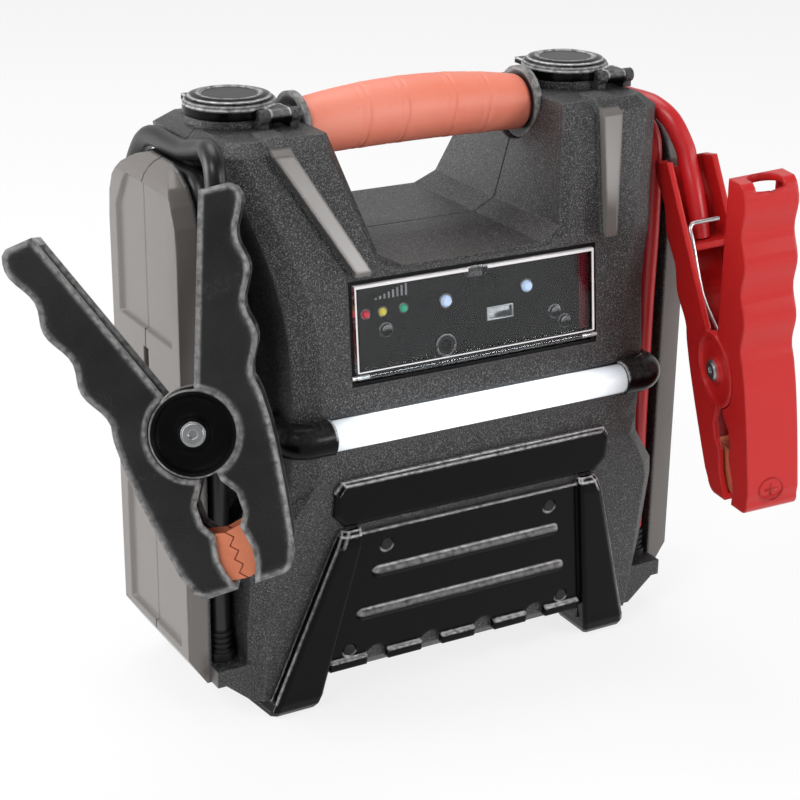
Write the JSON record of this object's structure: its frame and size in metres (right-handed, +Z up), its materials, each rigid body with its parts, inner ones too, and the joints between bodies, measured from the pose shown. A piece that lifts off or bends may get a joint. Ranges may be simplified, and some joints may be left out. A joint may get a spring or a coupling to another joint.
{
  "type": "jump starter pack",
  "caption": "Portable battery jump starter pack with a moulded casing, grip handle, capped sockets, covered control panel, light tube and clamps stowed on their cables.",
  "frame": {"origin": "centre of the footprint, on the surface that the feet stand on", "axes": "+Z up, -Y out of the front panel, +X to the right seen from the front"},
  "size_m": [0.3341, 0.1928, 0.2679],
  "materials": {
    "dark_casing": "fine moulded texture, low sheen",
    "black_gloss": "smooth moulding with a soft gloss",
    "clear_cover": "clear smoky plastic",
    "grip_orange": "soft grip, satin",
    "red_plastic": "moulded, satin gloss",
    "red_cable": "cable sheath, satin",
    "black_cable": "cable sheath, satin",
    "black_plastic": "moulded, satin",
    "copper": "copper coloured sheet, slightly worn",
    "steel": "bright plated steel",
    "dark_steel": "blackened screws",
    "galvanised": "plain sheet steel",
    "tube_white": "frosted tube",
    "led_white": "white strip with lamps",
    "lens_red": "tinted lens",
    "lens_yellow": "tinted lens",
    "lens_green": "tinted lens",
    "lens_white": "clear bluish lens",
    "rubber_black": "soft, matt",
    "board_green": "circuit board",
    "battery_grey": "moulded case"
  },
  "bodies": {
    "pack": {"front_shell": "dark_casing", "rear_shell": "dark_casing", "front_guard": "black_gloss", "guard_screws": "dark_steel", "rear_feet": "rubber_black", "name_bar": "black_gloss", "control_panel": "dark_casing", "cover_hinge_pins": "steel", "cover_catch": "dark_casing", "level_led_red": "lens_red", "level_led_yellow": "lens_yellow", "level_led_green": "lens_green", "charge_led": "lens_white", "light_led": "lens_white", "usb_port": "steel", "charging_jack": "rubber_black", "light_tube": "tube_white", "led_strip": "led_white", "light_mount_left": "black_gloss", "light_mount_right": "black_gloss", "handle_core": "black_plastic", "handle_grip": "grip_orange", "socket_left": "dark_casing", "socket_right": "dark_casing", "lid_hinge_pins": "steel", "battery": "battery_grey", "battery_strap": "galvanised", "circuit_board": "board_green", "housing_screws": "galvanised", "cable_gland_left": "rubber_black", "cable_gland_right": "rubber_black", "black_cable": "black_cable", "red_cable": "red_cable", "black_cable_half": "black_plastic", "black_cable_jaw": "copper", "black_rivet": "steel", "black_spring": "steel", "red_cable_half": "red_plastic", "red_cable_jaw": "copper", "red_rivet": "steel", "red_spring": "steel"},
    "black_clamp": {"black_free_half": "black_plastic", "black_free_jaw": "copper"},
    "red_clamp": {"red_free_half": "red_plastic", "red_free_jaw": "copper"},
    "panel_cover": {"panel_cover": "clear_cover"},
    "lid_left": {"lid_left": "black_gloss"},
    "lid_right": {"lid_right": "black_gloss"},
    "tester_button": {"tester_button": "rubber_black"},
    "light_button": {"light_button": "rubber_black"},
    "usb_button": {"usb_button": "rubber_black"}
  },
  "joints": [
    {"name": "black_clamp_pivot", "type": "hinge", "parent": "pack", "child": "black_clamp", "pos_m": [-0.135, -0.064, 0.1534], "axis": [0.4513, 0.8487, -0.2756], "range_deg": [0, 28], "stiffness_Nm_per_rad": 1.2, "springref_deg": -34.38},
    {"name": "red_clamp_pivot", "type": "hinge", "parent": "pack", "child": "red_clamp", "pos_m": [0.1162, -0.0887, 0.1456], "axis": [-0.9651, 0.2317, -0.1219], "range_deg": [0, 28], "stiffness_Nm_per_rad": 1.2, "springref_deg": -34.38},
    {"name": "panel_cover_hinge", "type": "hinge", "parent": "pack", "child": "panel_cover", "pos_m": [0, -0.05562, 0.15886], "axis": [1, 0, 0], "range_deg": [0, 100]},
    {"name": "left_lid_hinge", "type": "hinge", "parent": "pack", "child": "lid_left", "pos_m": [-0.0835, -0.0115, 0.2612], "axis": [1, 0, 0], "range_deg": [0, 105]},
    {"name": "right_lid_hinge", "type": "hinge", "parent": "pack", "child": "lid_right", "pos_m": [0.0835, -0.0115, 0.2612], "axis": [1, 0, 0], "range_deg": [0, 105]},
    {"name": "tester_press", "type": "slide", "parent": "pack", "child": "tester_button", "axis": [0, 0.9952, -0.0976], "range_m": [0, 0.0008], "stiffness_N_per_m": 200},
    {"name": "light_press", "type": "slide", "parent": "pack", "child": "light_button", "axis": [0, 0.9952, -0.0976], "range_m": [0, 0.0008], "stiffness_N_per_m": 200},
    {"name": "usb_press", "type": "slide", "parent": "pack", "child": "usb_button", "axis": [0, 0.9952, -0.0976], "range_m": [0, 0.0008], "stiffness_N_per_m": 200}
  ]
}
